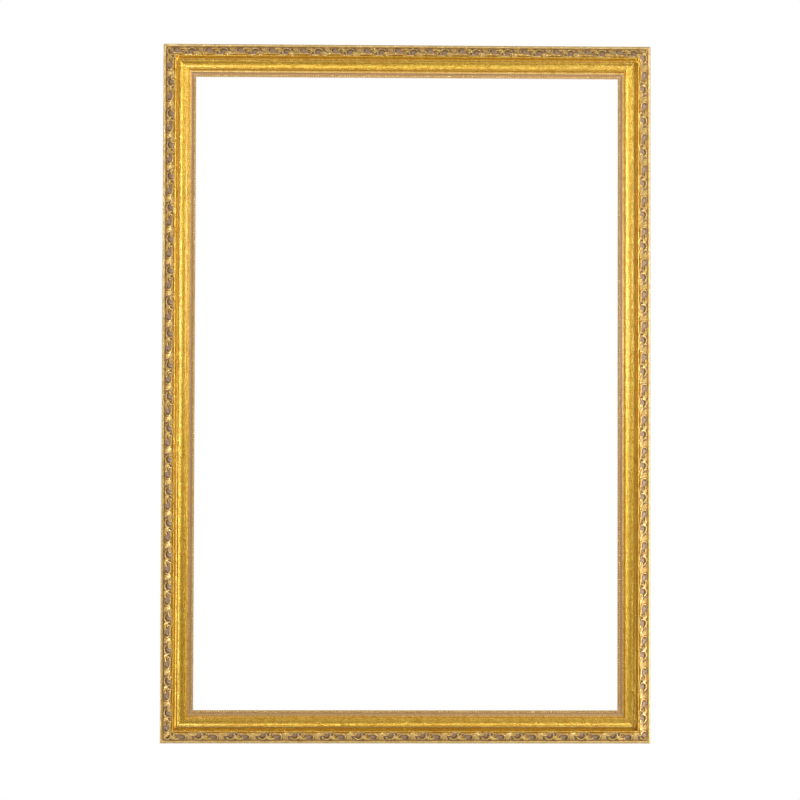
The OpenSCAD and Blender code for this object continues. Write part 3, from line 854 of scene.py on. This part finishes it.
def pearl_string(side):
    """Half-round pearls on their thread, beside the sight edge."""
    length = SIDES[side][3]
    count = int((length - 2 * FACE_W) / PEARL_PITCH)
    radius = PEARL_D / 2
    start = length / 2 - (count - 1) * PEARL_PITCH / 2
    turned = Matrix.Rotation(math.radians(90), 3, "Y")
    bm = bmesh.new()
    bmesh.ops.create_uvsphere(bm, u_segments=12, v_segments=8, radius=radius)
    bmesh.ops.rotate(bm, verts=bm.verts[:], matrix=turned)
    thread = bmesh.ops.create_cone(
        bm, cap_ends=False, segments=8, radius1=THREAD_R, radius2=THREAD_R, depth=PEARL_PITCH
    )["verts"]
    bmesh.ops.rotate(bm, verts=thread, matrix=turned)
    bmesh.ops.translate(bm, verts=thread, vec=(PEARL_PITCH / 2, 0, 0))
    geom = bm.verts[:] + bm.edges[:] + bm.faces[:]
    bmesh.ops.bisect_plane(bm, geom=geom, plane_co=(0, 0, -0.02), plane_no=(0, 0, -1), clear_outer=True)
    bmesh.ops.translate(bm, verts=bm.verts[:], vec=(start, U_PEARL + radius, H_SEAT))
    bmesh.ops.spin(
        bm,
        geom=bm.verts[:] + bm.edges[:] + bm.faces[:],
        cent=(0, 0, 0),
        axis=(0, 0, 1),
        dvec=(PEARL_PITCH, 0, 0),
        angle=0,
        steps=count - 1,
        use_duplicate=True,
    )
    # The thread ends with the last pearl
    end = start + (count - 1) * PEARL_PITCH + radius
    geom = bm.verts[:] + bm.edges[:] + bm.faces[:]
    bmesh.ops.bisect_plane(bm, geom=geom, plane_co=(end, 0, 0), plane_no=(1, 0, 0), clear_outer=True)
    wash = bm.verts.layers.float.new("wash")
    for vert in bm.verts:
        # Darkest at the feet between the pearls: painted shade over the wash
        vert[wash] = PEARL_FOOT_WASH_AND_SHADE * (1 - min(1, (vert.co.z - H_SEAT) / (PEARL_WASHED_AND_SHADED * radius)))
    bm.transform(side_matrix(side))
    made = finish_mesh(bm, "pearl_string_" + side, [pale_leaf], smooth_angle=60)
    stand_for(made, "pearls_" + side)


leaves = pressed(STROKES)
floor = pressed(SWELLINGS)
crowding_shade = crowded(leaves)
for side in SIDES:
    rail(side)
    ornament(side, leaves, floor, crowding_shade)
    pearl_string(side)

# Fittings behind: pan head screws, and the frame's own pieces with their edges softened

HEAD_R = 3.4
HEAD_H = 1.9
DOME_R = 5.0
SHANK_R = 1.6
SCREW_DEPTH = 10.0
POINT_L = 2.5
CROSS_L = 3.6
CROSS_W = 0.8
CROSS_DEPTH = 1.1
CROSS_TAPER = 0.6
HEAD_EDGE = 0.15
# Degrees that a screw turns for each millimetre along its side, so that neighbours' crosses differ
TURN_PER_MM = 37
U_BUTTON = U_REBATE - 7.0
BUTTON_PLACES = {"top": 150.0, "bottom": 150.0, "left": 170.0, "right": 170.0}
BUTTON_LIFT = 1.2
STRAP_LIFT = 0.8
U_STRAP_SCREW = 11.0
HANGER_DROP = 250.0


def pan_head_screw(lift):
    """One screw in rail coordinates, its shank along the height and its head behind the wood by the lift."""
    crown = -lift - HEAD_H
    rim = math.degrees(math.asin(HEAD_R / DOME_R))
    outline = arc((0, crown + DOME_R), DOME_R, 270, 270 + rim, 8)
    outline += [(HEAD_R, -lift - HEAD_EDGE), (HEAD_R - HEAD_EDGE, -lift), (SHANK_R, -lift)]
    outline += [(SHANK_R, SCREW_DEPTH - POINT_L), (0, SCREW_DEPTH)]
    bm = bmesh.new()
    points = [bm.verts.new((r, 0, h)) for r, h in outline]
    edges = [bm.edges.new(pair) for pair in zip(points, points[1:])]
    bmesh.ops.spin(
        bm,
        geom=points + edges,
        cent=(0, 0, 0),
        axis=(0, 0, 1),
        angle=2 * math.pi,
        steps=36,
        use_merge=True,
    )
    bmesh.ops.remove_doubles(bm, verts=bm.verts[:], dist=0.001)
    bmesh.ops.recalc_face_normals(bm, faces=bm.faces[:])
    # The bars of the cross overlap, so each is cut on its own: cut together they leave nothing of the screw
    for long, wide in ((CROSS_L, CROSS_W), (CROSS_W, CROSS_L)):
        cutter = bmesh.new()
        low = (-long / 2, -wide / 2, crown - 1)
        slot = block(cutter, low, (long / 2, wide / 2, crown + CROSS_DEPTH))
        deep = [v for v in slot if v.co.z > crown]
        bmesh.ops.scale(cutter, verts=deep, vec=(CROSS_TAPER, CROSS_TAPER, 1))
        carve(bm, cutter)
    return bm


def screws(name, node, lift, places):
    """The same screw at each place, given as side, run and place across the moulding."""
    template = bpy.data.meshes.new("screw")
    one = pan_head_screw(lift)
    one.to_mesh(template)
    one.free()
    bm = bmesh.new()
    for side, run, u in places:
        known = len(bm.verts)
        bm.from_mesh(template)
        bm.verts.ensure_lookup_table()
        turn = Matrix.Rotation(math.radians(TURN_PER_MM * run), 4, "Z")
        moved = side_matrix(side) @ Matrix.Translation((run, u, 0)) @ turn
        bmesh.ops.transform(bm, matrix=moved, verts=bm.verts[known:])
    bpy.data.meshes.remove(template)
    made = finish_mesh(bm, name, [zinc], smooth_angle=35)
    stand_for(made, node)


button_places = [
    (side, run, U_BUTTON) for side, place in BUTTON_PLACES.items() for run in (place, SIDES[side][3] - place)
]
screws("button_screws", "turn_button_screws", BUTTON_LIFT, button_places)
hanger_places = [("left", HANGER_DROP, U_STRAP_SCREW), ("right", HEIGHT - HANGER_DROP, U_STRAP_SCREW)]
screws("strap_screws", "hanger_screws", STRAP_LIFT, hanger_places)


def softened(node, mat, width):
    """A copy of a CAD node with its sharp edges rounded by the given width, in millimetres."""
    bm = bmesh.new()
    bm.from_mesh(frame["nodes"][node].data)
    bmesh.ops.remove_doubles(bm, verts=bm.verts[:], dist=0.001 * MM)
    bmesh.ops.dissolve_limit(bm, verts=bm.verts[:], edges=bm.edges[:], angle_limit=math.radians(1))
    sharp = [e for e in bm.edges if len(e.link_faces) == 2 and e.calc_face_angle(0.0) > math.radians(40)]
    bmesh.ops.bevel(
        bm,
        geom=sharp,
        offset=width * MM,
        segments=2,
        profile=0.5,
        affect="EDGES",
        material=-1,
        clamp_overlap=True,
    )
    for face in bm.faces:
        face.material_index = 0
    made = finish_mesh(bm, node + "_finished", [mat], smooth_angle=50)
    stand_for(made, node)


for node in list(frame["nodes"]):
    if node.startswith("turn_button_") and node != "turn_button_screws":
        softened(node, brassed, 0.15)
    if node.startswith("hanger_strap"):
        softened(node, zinc, 0.12)
    if node.startswith("wall_bumper"):
        softened(node, black_rubber, 0.3)
FINISHES = {"corner_nails": bright_steel, "hanger_ring": zinc}
for name, node in frame["nodes"].items():
    for start, mat in FINISHES.items():
        if name.startswith(start):
            node.data.materials.clear()
            node.data.materials.append(mat)

# Camera: a long lens a little below the frame's middle, turned slightly to one side

CAMERA_AT = Vector((-0.065, -3.0, -0.326))
YAW = math.radians(1.07)
PITCH = math.radians(1.27)
ROLL = math.radians(0.17)
# The photo's focal length and width in pixels, and the camera's sensor in millimetres
FOCAL_PX = 2082
PHOTO_PX = 800
SENSOR_W = 36

ahead = Vector((math.sin(YAW) * math.cos(PITCH), math.cos(YAW) * math.cos(PITCH), math.sin(PITCH)))
level = Vector((math.cos(YAW), -math.sin(YAW), 0))
above = level.cross(ahead)
right = level * math.cos(ROLL) + above * math.sin(ROLL)
up = above * math.cos(ROLL) - level * math.sin(ROLL)
camera_data = bpy.data.cameras.new("camera")
camera_data.lens = FOCAL_PX / PHOTO_PX * SENSOR_W
camera = bpy.data.objects.new("camera", camera_data)
camera.matrix_world = Matrix.Translation(CAMERA_AT) @ Matrix((right, up, -ahead)).transposed().to_4x4()
bpy.context.scene.collection.objects.link(camera)
bpy.context.scene.camera = camera

# Studio: soft boxes round the front, a pale floor, and a white backdrop

MIDDLE = (0, 0, -0.25)


def soft_box(name, place, width, height, glow):
    """A rectangular soft box that faces the frame's middle. Glow is its brightness, where 1 is white."""
    light = bpy.data.lights.new(name, "AREA")
    light.shape = "RECTANGLE"
    light.size = width
    light.size_y = height
    light.energy = glow * width * height * math.pi
    made = bpy.data.objects.new(name, light)
    made.location = place
    made.rotation_euler = (Vector(MIDDLE) - Vector(place)).to_track_quat("-Z", "Y").to_euler()
    bpy.context.scene.collection.objects.link(made)


# Each soft box: its place, its width and height in metres, and its glow
SOFT_BOXES = {
    "above": ((1.05, -2.05, 1.5), 1.9, 1.5, 1.2),
    "left": ((-2.3, -2.3, 0.3), 0.6, 0.6, 15.0),
    "right": ((2.4, -2.25, 0.3), 0.5, 0.8, 22.0),
    "low_right": ((1.7, -0.6, -0.6), 1.0, 0.6, 2.6),
    "front": ((0.75, -2.1, -0.1), 0.7, 0.35, 7.0),
    "high_left": ((-0.8, -2.7, 1.5), 0.35, 1.3, 16.0),
    "skim_right": ((2.1, -0.6, -1.6), 0.8, 0.8, 19.0),
    "skim_left": ((-2.1, -0.6, -1.6), 0.8, 0.8, 14.0),
}
for name, (place, width, height, glow) in SOFT_BOXES.items():
    soft_box("soft_box_" + name, place, width, height, glow)

# The backdrop's brightness as a light, where 1 is white, and the dim room's colour in front of it
BACKDROP_GLOW = 0.8
ROOM = (0.17, 0.14, 0.11, 1)
FLOOR_R = 1.05
FLOOR_DROP = 0.3
world = bpy.data.worlds.new("studio")
bpy.context.scene.world = world
world.use_nodes = True
tree = world.node_tree
tree.nodes.clear()
look = add(tree, "ShaderNodeTexCoord").outputs["Generated"]
axes = add(tree, "ShaderNodeSeparateXYZ", {0: look})
behind = add(tree, "ShaderNodeMapRange", {"Value": axes.outputs["Y"], "From Min": 0.0, "From Max": 0.3})
path = add(tree, "ShaderNodeLightPath")
mirrored = add(
    tree,
    "ShaderNodeMath",
    {0: path.outputs["Is Glossy Ray"], 1: path.outputs["Is Transmission Ray"]},
    operation="MAXIMUM",
)
spread = add(tree, "ShaderNodeMath", {0: mirrored.outputs["Value"], 1: BACKDROP_GLOW}, operation="MAXIMUM")
backdrop = add(
    tree,
    "ShaderNodeMath",
    {0: spread.outputs["Value"], 1: behind.outputs["Result"]},
    operation="MULTIPLY",
)
white = add(
    tree,
    "ShaderNodeMath",
    {0: path.outputs["Is Camera Ray"], 1: backdrop.outputs["Value"]},
    operation="MAXIMUM",
)
seen = add(
    tree,
    "ShaderNodeMix",
    {"Factor": white.outputs["Value"], 6: ROOM, 7: (1, 1, 1, 1)},
    data_type="RGBA",
)
sky = add(tree, "ShaderNodeBackground", {"Color": seen.outputs[2], "Strength": 1.0})
add(tree, "ShaderNodeOutputWorld", {"Surface": sky.outputs["Background"]})

bm = bmesh.new()
bmesh.ops.create_circle(bm, cap_ends=True, segments=96, radius=FLOOR_R)
bmesh.ops.translate(bm, verts=bm.verts[:], vec=(0, 0, cad_low.z - FLOOR_DROP))
floor_mat, tree, shader = new_material("pale_floor")
shader.inputs["Base Color"].default_value = linear("#E9E7E3")
shader.inputs["Roughness"].default_value = 0.8
finish_mesh(bm, "floor", [floor_mat])

bpy.context.scene.view_settings.view_transform = "Standard"
